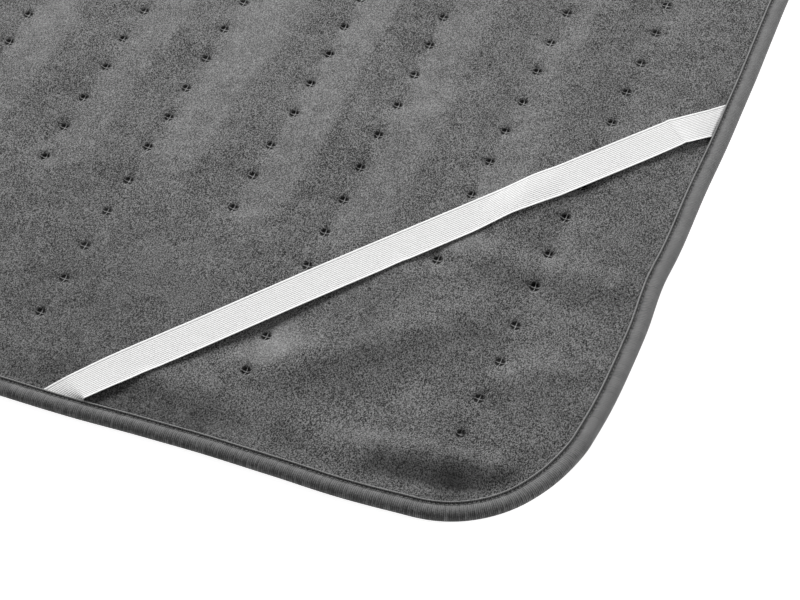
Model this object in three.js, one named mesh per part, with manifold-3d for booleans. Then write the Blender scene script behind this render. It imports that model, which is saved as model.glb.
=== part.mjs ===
// Heated underblanket: two layers of grey needle felt with a heating cord between them, a bound edge,
// an elastic strap across each corner and a plug-in connector at the head end.
// Millimetres. +X is across the blanket, +Y runs from the foot end to the head end, +Z is up.
// The origin is at the middle of the surface it lies on. The strap side faces up.
import * as THREE from "three";
import { mergeVertices } from "three/addons/utils/BufferGeometryUtils.js";
import Module from "manifold-3d";

const wasm = await Module();
wasm.setup();

// ---- Driving dimensions ----

const GAP = 0.3; // between neighbours that touch in the real blanket

// The quilt
const WIDTH = 800;
const LENGTH = 1500;
const CORNER_RADIUS = 80;
const PAD_THICKNESS = 6.4;
const CORNER_STEPS = 10;
const LAYER_MIDDLE = PAD_THICKNESS / 2; // the two felts meet here, and the cord lies here

// The bound edge: a folded tape, 12 mm wide and 7 mm high, that grips the thinned edge of both felts
const BINDING_WIDTH = 12;
const BINDING_HEIGHT = 7;
const BINDING_WALL = 1.2;
const BINDING_ROUND = 2.4;
const TONGUE_INSET = 3.5;

// Weld rows: eleven lengthwise rows of weld spots, at alternating narrow and wide distances
const WELD_PITCH = 27.6;
const SIDE_MARGIN = 70.5;
const NARROW_ROW_GAP = 58.8;
const WIDE_ROW_GAP = 73;
const END_MARGIN = 60;
const SHORT_ROW_SKIP = 4; // a short row starts this many pitches later, and leaves room for a turn

// The heating cord: ten runs, one in each channel between two weld rows
const CORD_RADIUS = 1.1;
const CORD_CHANNEL_RADIUS = 1.4;
const CORD_SIDES = 8;
const RUNS = 10;
const RUN_SPACING = (NARROW_ROW_GAP + WIDE_ROW_GAP) / 2;
const FIRST_RUN_X = WIDTH / 2 - SIDE_MARGIN - NARROW_ROW_GAP / 2;
const TURN_RADIUS = RUN_SPACING / 2;
const TURN_PAST_SPOT = 11.6; // from the last spot of a short row to the cord's turn
const TURN_STEPS = 10;
const TURN_APEX_Y = LENGTH / 2 - END_MARGIN - SHORT_ROW_SKIP * WELD_PITCH + TURN_PAST_SPOT;
const LEAD_BEND_RADIUS = 25;
const LEAD_Y = 714.5;

// The crosswise fold is across the middle, so every piece that crosses it is made in two halves.
const FOLD_EDGE = GAP / 2;

// The corner straps
const STRAP_WIDTH = 20;
const STRAP_THICKNESS = 1.2;
const STRAP_ALONG_END = 292; // from the side edge to the strap's middle on the end edge
const STRAP_ALONG_SIDE = 328; // from the end edge to the strap's middle on the side edge

// The connector
const SHELL_WIDTH = 66;
const SHELL_BACK = 692;
const SHELL_FRONT = 748;
const SHELL_TOP = 16;
const SHELL_CORNER = 8;
const SHELL_WALL = 2.2;
const SHELL_EDGE = 1.8; // rounding of the upper shell's top edge
const JAW_LOW = 1.8; // the felts pass between these two heights
const JAW_HIGH = 5.2;
const JAW_DEPTH = 12;
const TRAY_WALL = 2;
const TRAY_FLOOR = 1.5;
const MOUTH_WIDTH = 32;
const MOUTH_LOW = 6.2;
const MOUTH_HIGH = 12.2;
const INSERT_WIDTH = 38;
const INSERT_BACK = 722;
const INSERT_WALL = 4;
const PIN_RADIUS = 1.25;
const PIN_X = 8;
const PIN_TAIL_Y = 717.5;
const PIN_TIP_Y = 741;
const CRIMP_RADIUS = 1.3;
const CRIMP_LENGTH = 8;
const CORD_END_X = 20;
const WIRE_RADIUS = 0.7;
const WIRE_SIDES = 6;
const SCREW_X = 23;
const SCREW_Y = [708.5, 737];
const SCREW_SHANK_RADIUS = 1.3;
const SCREW_HEAD_RADIUS = 2.7;
const SCREW_HEAD_HEIGHT = 1.4;
const SCREW_TIP_Z = 12;
const BOSS_RADIUS = 2.4;
const POST_RADIUS = 3;

// ---- Materials ----

function material(color, roughness, metalness = 0) {
  return new THREE.MeshStandardMaterial({ color, roughness, metalness });
}

const feltMaterial = material(0x6b6c6e, 0.95);
const bindingMaterial = material(0x58595b, 0.9);
const strapMaterial = material(0xe4e3df, 0.85);
const cordMaterial = material(0xd9d6cc, 0.5);
const shellMaterial = material(0x3a3c3f, 0.5);
const insertMaterial = material(0x1c1d1f, 0.4);
const brassMaterial = material(0xc2a25a, 0.3, 1);
const steelMaterial = material(0x9a9ca0, 0.35, 1);
const fuseMaterial = material(0xe8e4d8, 0.6);

// ---- Solids: joining and cutting ----

function solidOf(geometry) {
  const bare = geometry.index ? geometry.toNonIndexed() : geometry.clone();
  bare.deleteAttribute("normal");
  bare.deleteAttribute("uv");
  const merged = mergeVertices(bare, 1e-3);
  return new wasm.Manifold(
    new wasm.Mesh({
      numProp: 3,
      vertProperties: new Float32Array(merged.attributes.position.array),
      triVerts: new Uint32Array(merged.index.array),
    }),
  );
}

function geometryOf(solid) {
  const mesh = solid.getMesh();
  const geometry = new THREE.BufferGeometry();
  geometry.setAttribute("position", new THREE.BufferAttribute(new Float32Array(mesh.vertProperties), 3));
  geometry.setIndex(new THREE.BufferAttribute(new Uint32Array(mesh.triVerts), 1));
  geometry.computeVertexNormals();
  return geometry;
}

const join = (...geometries) => geometryOf(geometries.map(solidOf).reduce((all, next) => all.add(next)));
const cut = (body, ...tools) =>
  geometryOf(tools.map(solidOf).reduce((left, tool) => left.subtract(tool), solidOf(body)));
const common = (body, tool) => geometryOf(solidOf(body).intersect(solidOf(tool)));

// ---- Basic shapes ----

function box(x, y, z) {
  const geometry = new THREE.BoxGeometry(x[1] - x[0], y[1] - y[0], z[1] - z[0]);
  return geometry.translate((x[0] + x[1]) / 2, (y[0] + y[1]) / 2, (z[0] + z[1]) / 2);
}

// A rectangle with round corners, between two x values and two y values.
function roundedRectangle(x, y, radius) {
  const shape = new THREE.Shape();
  const quarter = Math.PI / 2;
  shape.absarc(x[1] - radius, y[1] - radius, radius, 0, quarter);
  shape.absarc(x[0] + radius, y[1] - radius, radius, quarter, 2 * quarter);
  shape.absarc(x[0] + radius, y[0] + radius, radius, 2 * quarter, 3 * quarter);
  shape.absarc(x[1] - radius, y[0] + radius, radius, 3 * quarter, 4 * quarter);
  shape.closePath();
  return shape;
}

// Each arc of the shape gets this many steps: three.js makes two for each of its curve segments.
function slab(shape, z, arcSteps = CORNER_STEPS) {
  const settings = { depth: z[1] - z[0], bevelEnabled: false, curveSegments: arcSteps / 2 };
  const geometry = new THREE.ExtrudeGeometry(shape, settings);
  return geometry.translate(0, 0, z[0]);
}

// The blanket's outline, moved inwards.
const outline = (inset) =>
  roundedRectangle(
    [inset - WIDTH / 2, WIDTH / 2 - inset],
    [inset - LENGTH / 2, LENGTH / 2 - inset],
    CORNER_RADIUS - inset,
  );

function cylinder(radius, from, to, sides = 12) {
  const start = new THREE.Vector3(...from);
  const end = new THREE.Vector3(...to);
  const geometry = new THREE.CylinderGeometry(radius, radius, start.distanceTo(end), sides);
  const along = end.clone().sub(start).normalize();
  geometry.applyQuaternion(new THREE.Quaternion().setFromUnitVectors(new THREE.Vector3(0, 1, 0), along));
  const middle = start.add(end).multiplyScalar(0.5);
  return geometry.translate(middle.x, middle.y, middle.z);
}

// ---- Routes in the plane: straight stretches joined by arcs, with steps only where they bend ----

class Route extends THREE.Curve {
  constructor(x, y, z, heading) {
    super();
    this.height = z;
    this.heading = heading;
    this.stations = [];
    this.mark(x, y);
  }
  mark(x, y) {
    this.x = x;
    this.y = y;
    const tangent = new THREE.Vector3(Math.cos(this.heading), Math.sin(this.heading), 0);
    this.stations.push({ point: new THREE.Vector3(x, y, this.height), tangent });
  }
  straight(length) {
    this.mark(this.x + length * Math.cos(this.heading), this.y + length * Math.sin(this.heading));
    return this;
  }
  // Turns by an angle, to the left if it is positive.
  turn(radius, angle, steps) {
    const side = Math.sign(angle);
    const centreX = this.x - side * radius * Math.sin(this.heading);
    const centreY = this.y + side * radius * Math.cos(this.heading);
    for (let i = 0; i < steps; i++) {
      this.heading += angle / steps;
      const x = centreX + side * radius * Math.sin(this.heading);
      const y = centreY - side * radius * Math.cos(this.heading);
      this.mark(x, y);
    }
    return this;
  }
  get steps() {
    return this.stations.length - 1;
  }
  station(share) {
    return this.stations[Math.round(share * this.steps)];
  }
  getPoint(share) {
    return this.station(share).point.clone();
  }
  getPointAt(share) {
    return this.getPoint(share);
  }
  getTangentAt(share) {
    return this.station(share).tangent.clone();
  }
}

const sweep = (shape, route) =>
  new THREE.ExtrudeGeometry(shape, { steps: route.steps, extrudePath: route });

function circle(radius, sides) {
  const shape = new THREE.Shape();
  for (let i = 0; i < sides; i++) {
    const angle = (2 * Math.PI * (i + 0.5)) / sides;
    const x = (radius / Math.cos(Math.PI / sides)) * Math.cos(angle);
    const y = (radius / Math.cos(Math.PI / sides)) * Math.sin(angle);
    if (i === 0) shape.moveTo(x, y);
    else shape.lineTo(x, y);
  }
  shape.closePath();
  return shape;
}

// ---- The scene graph ----

const blanket = new THREE.Group();

function add(name, geometry, ofMaterial) {
  const mesh = new THREE.Mesh(geometry, ofMaterial);
  mesh.name = name;
  blanket.add(mesh);
  return mesh;
}

// ---- The heating cord ----

const DOWN = -Math.PI / 2;
const UP = Math.PI / 2;
const runX = (run) => FIRST_RUN_X - run * RUN_SPACING;
const runLength = TURN_APEX_Y - TURN_RADIUS - FOLD_EDGE;

// Two neighbouring runs and the turn that joins them, at the foot end or the head end.
function hairpin(firstRun, end) {
  const route = new Route(runX(firstRun), end * FOLD_EDGE, LAYER_MIDDLE, end < 0 ? DOWN : UP);
  return route.straight(runLength).turn(TURN_RADIUS, end * Math.PI, TURN_STEPS).straight(runLength);
}

// An outer run and its lead along the head end to the connector.
function lead(run) {
  const x = runX(run);
  const side = Math.sign(x);
  const route = new Route(x, FOLD_EDGE, LAYER_MIDDLE, UP);
  return route
    .straight(LEAD_Y - LEAD_BEND_RADIUS - FOLD_EDGE)
    .turn(LEAD_BEND_RADIUS, side * UP, TURN_STEPS / 2)
    .straight(Math.abs(x) - LEAD_BEND_RADIUS - CORD_END_X);
}

const cordRoutes = new Map();
for (let pair = 0; pair < RUNS / 2; pair++) {
  cordRoutes.set("heating_cord_foot_" + (pair + 1), hairpin(2 * pair, -1));
}
for (let pair = 0; pair < RUNS / 2 - 1; pair++) {
  cordRoutes.set("heating_cord_head_" + (pair + 1), hairpin(2 * pair + 1, 1));
}
cordRoutes.set("heating_cord_lead_right", lead(0));
cordRoutes.set("heating_cord_lead_left", lead(RUNS - 1));

for (const [name, route] of cordRoutes) {
  add(name, sweep(circle(CORD_RADIUS, CORD_SIDES), route), cordMaterial);
}

// ---- The two felts ----

const REACH = WIDTH + LENGTH; // past every edge
const footSide = box([-REACH, REACH], [-REACH, -FOLD_EDGE], [-REACH, REACH]);
const headSide = box([-REACH, REACH], [FOLD_EDGE, REACH], [-REACH, REACH]);

// The full thickness stops at the binding, and a thinner tongue runs on inside it.
function layer(z, tongueZ) {
  return join(slab(outline(BINDING_WIDTH + GAP), z), slab(outline(TONGUE_INSET), tongueZ));
}

const tongueLow = BINDING_WALL + GAP;
const tongueHigh = BINDING_HEIGHT - BINDING_WALL - GAP;
const lowerFelt = layer([0, LAYER_MIDDLE - GAP / 2], [tongueLow, LAYER_MIDDLE - GAP / 2]);
const upperFelt = layer([LAYER_MIDDLE + GAP / 2, PAD_THICKNESS], [LAYER_MIDDLE + GAP / 2, tongueHigh]);

// Where the connector clamps the felts they are thin, and between its walls there are none.
const jawX = [-SHELL_WIDTH / 2 - GAP, SHELL_WIDTH / 2 + GAP];
const jawY = [SHELL_BACK - GAP, REACH];
const notch = SHELL_WIDTH / 2 - JAW_DEPTH / 2;
const notchBack = SHELL_BACK + JAW_DEPTH;
const jawTools = [
  box(jawX, jawY, [-REACH, JAW_LOW + GAP]),
  box(jawX, jawY, [JAW_HIGH - GAP, REACH]),
  box([-notch, notch], [notchBack, REACH], [-REACH, REACH]),
];

// The cord lies in a channel, half of it in each felt.
const channels = [...cordRoutes.values()].map((route) => sweep(circle(CORD_CHANNEL_RADIUS, 6), route));

function addFelt(name, felt) {
  const grooved = cut(felt, ...channels);
  add(name + "_foot", common(grooved, footSide), feltMaterial);
  add(name + "_head", cut(common(grooved, headSide), ...jawTools), feltMaterial);
}

addFelt("lower_felt", lowerFelt);
addFelt("upper_felt", upperFelt);

// ---- The bound edge ----

// The tape's section: across is the distance in from the outer edge, up is the height.
function bindingSection() {
  const shape = new THREE.Shape();
  const corner = (across, up) => shape.lineTo(-up, across);
  const slotLow = BINDING_WALL;
  const slotHigh = BINDING_HEIGHT - BINDING_WALL;
  shape.moveTo(0, BINDING_WIDTH);
  corner(BINDING_ROUND, 0);
  corner(BINDING_ROUND * 0.3, BINDING_ROUND * 0.3);
  corner(0, BINDING_ROUND);
  corner(0, BINDING_HEIGHT - BINDING_ROUND);
  corner(BINDING_ROUND * 0.3, BINDING_HEIGHT - BINDING_ROUND * 0.3);
  corner(BINDING_ROUND, BINDING_HEIGHT);
  corner(BINDING_WIDTH, BINDING_HEIGHT);
  corner(BINDING_WIDTH, slotHigh);
  corner(TONGUE_INSET - GAP, slotHigh);
  corner(TONGUE_INSET - GAP, slotLow);
  corner(BINDING_WIDTH, slotLow);
  shape.closePath();
  return shape;
}

const sideStraight = LENGTH / 2 - CORNER_RADIUS - FOLD_EDGE;
const endStraight = WIDTH / 2 - CORNER_RADIUS;
const footEdge = new Route(-WIDTH / 2, -FOLD_EDGE, 0, DOWN)
  .straight(sideStraight)
  .turn(CORNER_RADIUS, UP, CORNER_STEPS)
  .straight(2 * endStraight)
  .turn(CORNER_RADIUS, UP, CORNER_STEPS)
  .straight(sideStraight);
add("binding_foot", sweep(bindingSection(), footEdge), bindingMaterial);

const headStraight = endStraight - SHELL_WIDTH / 2 - GAP;
const rightHeadEdge = new Route(WIDTH / 2, FOLD_EDGE, 0, UP)
  .straight(sideStraight)
  .turn(CORNER_RADIUS, UP, CORNER_STEPS)
  .straight(headStraight);
const leftHeadEdge = new Route(-SHELL_WIDTH / 2 - GAP, LENGTH / 2, 0, Math.PI)
  .straight(headStraight)
  .turn(CORNER_RADIUS, UP, CORNER_STEPS)
  .straight(sideStraight);
add("binding_head_right", sweep(bindingSection(), rightHeadEdge), bindingMaterial);
add("binding_head_left", sweep(bindingSection(), leftHeadEdge), bindingMaterial);

// ---- The corner straps ----

// The foot end's right strap runs from the end edge to the side edge, and each other is its mirror image.
function strapShape(sideways, lengthways) {
  const inset = BINDING_WIDTH + GAP;
  const start = new THREE.Vector2(WIDTH / 2 - STRAP_ALONG_END, inset - LENGTH / 2);
  const end = new THREE.Vector2(WIDTH / 2 - inset, STRAP_ALONG_SIDE - LENGTH / 2);
  const along = end.clone().sub(start).normalize();
  const halfOnEnd = STRAP_WIDTH / 2 / along.y;
  const halfOnSide = STRAP_WIDTH / 2 / along.x;
  const corners = [
    [start.x - halfOnEnd, start.y],
    [start.x + halfOnEnd, start.y],
    [end.x, end.y - halfOnSide],
    [end.x, end.y + halfOnSide],
  ];
  return new THREE.Shape(corners.map(([x, y]) => new THREE.Vector2(sideways * x, lengthways * y)));
}

const strapZ = [PAD_THICKNESS + GAP, PAD_THICKNESS + GAP + STRAP_THICKNESS];
const ENDS = { foot: 1, head: -1 };
const SIDES = { right: 1, left: -1 };
for (const [end, lengthways] of Object.entries(ENDS)) {
  for (const [side, sideways] of Object.entries(SIDES)) {
    add(`strap_${end}_${side}`, slab(strapShape(sideways, lengthways), strapZ), strapMaterial);
  }
}

// ---- The connector ----

const shellX = [-SHELL_WIDTH / 2, SHELL_WIDTH / 2];
const trayX = notch - GAP;
const trayY = [notchBack + GAP, SHELL_FRONT];
const trayHigh = JAW_HIGH - GAP;
const insertX = INSERT_WIDTH / 2;
const insertFront = SHELL_FRONT - SHELL_WALL - GAP;
const insertHigh = SHELL_TOP - SHELL_WALL - GAP;

// A screw goes up through the lower shell into a boss of the upper shell at each of these places.
const screwPlaces = SCREW_Y.flatMap((y) => [-SCREW_X, SCREW_X].map((x) => [x, y]));
const screwPost = (radius, z) => screwPlaces.map(([x, y]) => cylinder(radius, [x, y, z[0]], [x, y, z[1]]));

// A shell's cavity, open at its lower side.
const shellRoom = (wall, z) =>
  slab(
    roundedRectangle(
      [shellX[0] + wall, shellX[1] - wall],
      [SHELL_BACK + wall, SHELL_FRONT - wall],
      SHELL_CORNER - wall,
    ),
    z,
    6,
  );

function upperShell() {
  const footprint = roundedRectangle(
    [shellX[0] + SHELL_EDGE, shellX[1] - SHELL_EDGE],
    [SHELL_BACK + SHELL_EDGE, SHELL_FRONT - SHELL_EDGE],
    SHELL_CORNER - SHELL_EDGE,
  );
  const outside = new THREE.ExtrudeGeometry(footprint, {
    depth: SHELL_TOP - 2 * SHELL_EDGE,
    bevelSize: SHELL_EDGE,
    bevelThickness: SHELL_EDGE,
    bevelSegments: 2,
    curveSegments: 3,
  });
  outside.translate(0, 0, SHELL_EDGE);
  const below = box([-REACH, REACH], [-REACH, REACH], [-REACH, JAW_HIGH]);
  const room = shellRoom(SHELL_WALL, [0, SHELL_TOP - SHELL_WALL]);
  const mouth = box(
    [-MOUTH_WIDTH / 2, MOUTH_WIDTH / 2],
    [insertFront - 1, SHELL_FRONT + 1],
    [MOUTH_LOW, MOUTH_HIGH],
  );
  const shell = cut(outside, below, room, mouth);
  const bosses = screwPost(BOSS_RADIUS, [JAW_HIGH, SHELL_TOP - SHELL_WALL + 0.5]);
  return cut(join(shell, ...bosses), ...screwPost(SCREW_SHANK_RADIUS + GAP, [0, SCREW_TIP_Z + 0.5]));
}

function lowerShell() {
  const plate = shellRoom(0, [0, JAW_LOW]);
  const tray = slab(roundedRectangle([-trayX, trayX], trayY, 1.5), [JAW_LOW - 0.5, trayHigh], 4);
  const pocket = box(
    [TRAY_WALL - trayX, trayX - TRAY_WALL],
    [trayY[0] + TRAY_WALL, SHELL_FRONT - TRAY_WALL],
    [TRAY_FLOOR, REACH],
  );
  const holeEnd = trayX + 1;
  const cordHoles = cylinder(
    CORD_CHANNEL_RADIUS,
    [-holeEnd, LEAD_Y, LAYER_MIDDLE],
    [holeEnd, LEAD_Y, LAYER_MIDDLE],
  );
  const posts = screwPost(POST_RADIUS, [TRAY_FLOOR - 0.5, trayHigh]);
  const shell = join(cut(join(plate, tray), pocket), ...posts);
  const countersinks = screwPlaces.map(([x, y]) => screwProfile(GAP).translate(x, y, 0));
  return cut(shell, cordHoles, ...countersinks);
}

// The moulding with the socket that the control's plug goes into.
function socketInsert() {
  const body = box([-insertX, insertX], [INSERT_BACK, insertFront], [TRAY_FLOOR + GAP, insertHigh]);
  const socket = box(
    [-MOUTH_WIDTH / 2, MOUTH_WIDTH / 2],
    [INSERT_BACK + INSERT_WALL, SHELL_FRONT],
    [MOUTH_LOW, MOUTH_HIGH],
  );
  const pinHoles = [-PIN_X, PIN_X].map((x) =>
    cylinder(PIN_RADIUS + GAP, [x, INSERT_BACK - 1, pinZ], [x, INSERT_BACK + INSERT_WALL + 1, pinZ]),
  );
  return cut(body, socket, ...pinHoles);
}

const pinZ = (MOUTH_LOW + MOUTH_HIGH) / 2;

function contactPin() {
  const round = 0.5;
  const profile = [
    [0, 0],
    [PIN_RADIUS - round, 0],
    [PIN_RADIUS, round],
    [PIN_RADIUS, PIN_TIP_Y - PIN_TAIL_Y - 2 * round],
    [PIN_RADIUS - round, PIN_TIP_Y - PIN_TAIL_Y],
    [0, PIN_TIP_Y - PIN_TAIL_Y],
  ];
  return new THREE.LatheGeometry(profile.map(([r, y]) => new THREE.Vector2(r, y)), 12);
}

// A countersunk screw that points up, or the room for it with some play all round.
function screwProfile(play) {
  const profile = [
    [0, -play],
    [SCREW_HEAD_RADIUS + play, -play],
    [SCREW_HEAD_RADIUS + play, 0],
    [SCREW_SHANK_RADIUS + play, SCREW_HEAD_HEIGHT],
    [SCREW_SHANK_RADIUS + play, SCREW_TIP_Z - SCREW_SHANK_RADIUS],
    [0, SCREW_TIP_Z + play],
  ];
  return new THREE.LatheGeometry(profile.map(([r, y]) => new THREE.Vector2(r, y)), 12).rotateX(Math.PI / 2);
}

// The screw with the cross recess in its head.
function screw() {
  const turned = screwProfile(0);
  const slot = [-0.35, 0.35];
  const across = [-1.5, 1.5];
  return cut(turned, box(across, slot, [-1, 0.8]), box(slot, across, [-1, 0.8]));
}

// A wire through hand-placed points.
function wire(...points) {
  const path = new THREE.CatmullRomCurve3(points.map((point) => new THREE.Vector3(...point)));
  return new THREE.ExtrudeGeometry(circle(WIRE_RADIUS, WIRE_SIDES), {
    steps: 3 * points.length,
    extrudePath: path,
  });
}

add("connector_lower_shell", lowerShell(), shellMaterial);
add("connector_upper_shell", upperShell(), shellMaterial);
add("socket_insert", socketInsert(), insertMaterial);
for (const [side, sideways] of Object.entries(SIDES)) {
  add("contact_pin_" + side, contactPin(), brassMaterial).position.set(sideways * PIN_X, PIN_TAIL_Y, pinZ);
  const outer = sideways * (CORD_END_X - GAP);
  const inner = sideways * (CORD_END_X - GAP - CRIMP_LENGTH);
  const sleeve = cylinder(CRIMP_RADIUS, [inner, LEAD_Y, LAYER_MIDDLE], [outer, LEAD_Y, LAYER_MIDDLE]);
  add("crimp_sleeve_" + side, sleeve, steelMaterial);
}
screwPlaces.forEach(([x, y], i) => {
  add("connector_screw_" + (i + 1), screw(), steelMaterial).position.set(x, y, 0.1);
});

// The right cord's wire goes straight to its pin, and the left one's passes through the thermal fuse.
const wireStart = CORD_END_X - 2 * GAP - CRIMP_LENGTH;
const pinBack = PIN_TAIL_Y - GAP;
const FUSE_X = [-3, 9];
const FUSE_Y = 709;
const FUSE_Z = 8;
const FUSE_HALF = 2;
add(
  "lead_wire_right",
  wire(
    [wireStart, LEAD_Y, LAYER_MIDDLE],
    [wireStart - 2, LEAD_Y, LAYER_MIDDLE + 0.6],
    [PIN_X + 0.6, LEAD_Y - 0.4, LAYER_MIDDLE + 3.5],
    [PIN_X, LEAD_Y + 0.6, pinZ - 1.2],
    [PIN_X, pinBack, pinZ],
  ),
  cordMaterial,
);
add(
  "thermal_fuse",
  slab(
    roundedRectangle([-FUSE_HALF, FUSE_HALF], [-FUSE_HALF, FUSE_HALF], 0.9),
    FUSE_X,
    4,
  )
    .rotateY(Math.PI / 2)
    .translate(0, FUSE_Y, FUSE_Z),
  fuseMaterial,
);
add(
  "fuse_wire_in",
  wire(
    [-wireStart, LEAD_Y, LAYER_MIDDLE],
    [-wireStart + 2, LEAD_Y, LAYER_MIDDLE + 0.5],
    [-wireStart + 3, LEAD_Y - 3, LAYER_MIDDLE + 3],
    [FUSE_X[0] - 2.5, FUSE_Y + 0.4, FUSE_Z - 0.4],
    [FUSE_X[0] - GAP, FUSE_Y, FUSE_Z],
  ),
  cordMaterial,
);
add(
  "fuse_wire_out",
  wire(
    [FUSE_X[1] + GAP, FUSE_Y, FUSE_Z],
    [FUSE_X[1] + 2, FUSE_Y + 0.2, FUSE_Z + 1],
    [FUSE_X[1] + 0.5, FUSE_Y + 1, FUSE_Z + 3.2],
    [0, FUSE_Y + 1.6, FUSE_Z + 3.9],
    [-PIN_X + 1, FUSE_Y + 3, FUSE_Z + 3.4],
    [-PIN_X, pinBack - 2, pinZ + 0.6],
    [-PIN_X, pinBack, pinZ],
  ),
  cordMaterial,
);

export default blanket;
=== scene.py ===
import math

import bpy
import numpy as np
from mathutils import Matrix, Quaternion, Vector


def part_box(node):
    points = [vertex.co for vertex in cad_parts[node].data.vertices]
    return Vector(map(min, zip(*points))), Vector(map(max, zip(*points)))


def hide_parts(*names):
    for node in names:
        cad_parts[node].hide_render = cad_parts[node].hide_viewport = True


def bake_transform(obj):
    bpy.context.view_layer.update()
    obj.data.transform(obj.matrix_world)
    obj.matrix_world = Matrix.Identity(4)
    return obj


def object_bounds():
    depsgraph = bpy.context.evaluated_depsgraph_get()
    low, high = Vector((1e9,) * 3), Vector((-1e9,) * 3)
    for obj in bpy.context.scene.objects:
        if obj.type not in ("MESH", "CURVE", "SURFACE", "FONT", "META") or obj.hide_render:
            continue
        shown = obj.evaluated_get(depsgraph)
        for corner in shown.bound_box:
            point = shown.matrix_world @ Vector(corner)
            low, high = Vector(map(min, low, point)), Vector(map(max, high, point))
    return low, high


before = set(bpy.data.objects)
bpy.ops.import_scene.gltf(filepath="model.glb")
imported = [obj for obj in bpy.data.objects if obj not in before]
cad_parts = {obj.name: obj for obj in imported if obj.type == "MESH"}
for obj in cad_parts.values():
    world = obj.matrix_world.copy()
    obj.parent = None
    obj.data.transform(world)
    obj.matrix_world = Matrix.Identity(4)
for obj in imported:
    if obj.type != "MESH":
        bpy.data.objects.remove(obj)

# The looks of a heated underblanket: two layers of grey needle felt, welded together in rows of spots with
# a heating cord between them, a bound edge, four corner straps and a connector at the head end.
# Shapes are worked out in millimetres, in the CAD frame, and turned into metres when a piece is made.

cad_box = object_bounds()

MM = 0.001

# ---- Sizes, from the frame or as in the CAD source ----

WIDTH = (cad_box[1].x - cad_box[0].x) / MM
LENGTH = (cad_box[1].y - cad_box[0].y) / MM
HALF_WIDTH = WIDTH / 2
HALF_LENGTH = LENGTH / 2
CORNER_RADIUS = 80
ROUND_X, ROUND_Y = HALF_WIDTH - CORNER_RADIUS, HALF_LENGTH - CORNER_RADIUS  # the middle of a corner's round
PAD_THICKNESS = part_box("upper_felt_foot")[1].z / MM
UPPER_FELT_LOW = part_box("upper_felt_foot")[0].z / MM
LOWER_FELT_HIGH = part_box("lower_felt_foot")[1].z / MM
LAYER_MIDDLE = PAD_THICKNESS / 2
BINDING_WIDTH = 10.8
FELT_INSET = 6  # the felts end this far inside the edge, in the binding

WELD_PITCH = 27.6  # from spot to spot along a row
SIDE_MARGIN = 70.5
NARROW_ROW_GAP = 58.8
WIDE_ROW_GAP = 73
END_MARGIN = 60
SHORT_ROW_SKIP = 4  # every second row leaves out this many spots, where the cord turns round its end
ROWS = 11
ROW_X = HALF_WIDTH - SIDE_MARGIN - np.cumsum([0] + [NARROW_ROW_GAP, WIDE_ROW_GAP] * (ROWS // 2))
FIRST_SPOT_Y = END_MARGIN - HALF_LENGTH
LAST_SPOT = round((LENGTH - 2 * END_MARGIN) / WELD_PITCH)

RUNS = 10
RUN_SPACING = (NARROW_ROW_GAP + WIDE_ROW_GAP) / 2
FIRST_RUN_X = ROW_X[0] - NARROW_ROW_GAP / 2
RUN_X = FIRST_RUN_X - RUN_SPACING * np.arange(RUNS)
TURN_RADIUS = RUN_SPACING / 2
TURN_PAST_SPOT = 11.6
TURN_Y = HALF_LENGTH - END_MARGIN - SHORT_ROW_SKIP * WELD_PITCH + TURN_PAST_SPOT - TURN_RADIUS
LEAD_Y = 714.5
LEAD_BEND = 25
CORD_END_X = 20
CORD_RADIUS = 1.1
CORD_SIDES = 10

SHELL_HALF_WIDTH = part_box("connector_upper_shell")[1].x / MM
SHELL_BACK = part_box("connector_upper_shell")[0].y / MM
NOTCH_HALF_WIDTH = SHELL_HALF_WIDTH - 6
NOTCH_BACK = SHELL_BACK + 12
JAW_GAP = (2.1, 4.9)  # from this height to this one the felts lie between the connector's shells

STRAP_WIDTH = 20
STRAP_THICKNESS = 1.2
STRAP_ALONG_END = 292
STRAP_ALONG_SIDE = 328

# The felts get closer grid lines this far either side of the middle, where the head half folds over.
FOLD_REACH = 20

SIDES = {"right": 1, "left": -1}
ENDS = {"foot": -1, "head": 1}


# ---- The camera and the light ----

CAMERA_TARGET = Vector((0.2609, -0.6135, 0.0064))
CAMERA_DISTANCE = 1.1713
CAMERA_AZIMUTH = math.radians(28.02)
CAMERA_ELEVATION = math.radians(50.6)
CAMERA_ROLL = math.radians(-6.9)
CAMERA_LENS = 92.19


def direction(azimuth, elevation):
    """The way from the object to a place at that azimuth, where 0 is at -Y and 90 degrees at +X."""
    level = math.cos(elevation)
    return Vector((math.sin(azimuth) * level, -math.cos(azimuth) * level, math.sin(elevation)))


def place_object(name, data):
    made = bpy.data.objects.new(name, data)
    bpy.context.scene.collection.objects.link(made)
    return made


def add_camera():
    data = bpy.data.cameras.new("camera")
    data.lens = CAMERA_LENS
    data.clip_start = 0.01
    data.clip_end = 100
    camera = place_object("camera", data)
    back = direction(CAMERA_AZIMUTH, CAMERA_ELEVATION)
    level = (-back).to_track_quat("-Z", "Y")
    camera.rotation_mode = "QUATERNION"
    camera.rotation_quaternion = level @ Quaternion((0, 0, 1), CAMERA_ROLL)
    camera.location = CAMERA_TARGET + back * CAMERA_DISTANCE
    bpy.context.scene.camera = camera


def add_light(name, azimuth, elevation, distance, size, power):
    data = bpy.data.lights.new(name, "AREA")
    data.size = size
    data.energy = power
    lamp = place_object(name, data)
    away = direction(math.radians(azimuth), math.radians(elevation))
    lamp.location = away * distance
    lamp.rotation_mode = "QUATERNION"
    lamp.rotation_quaternion = (-away).to_track_quat("-Z", "Y")


def add_world(strength):
    world = bpy.data.worlds.new("studio")
    world.use_nodes = True
    background = world.node_tree.nodes["Background"]
    background.inputs["Color"].default_value = (1, 1, 1, 1)
    background.inputs["Strength"].default_value = strength
    bpy.context.scene.world = world


add_camera()
add_light("key", azimuth=224, elevation=46, distance=5, size=3.6, power=420)
add_light("fill", azimuth=100, elevation=30, distance=5, size=3, power=90)
add_world(strength=0.08)
bpy.context.scene.view_settings.view_transform = "Standard"


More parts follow.
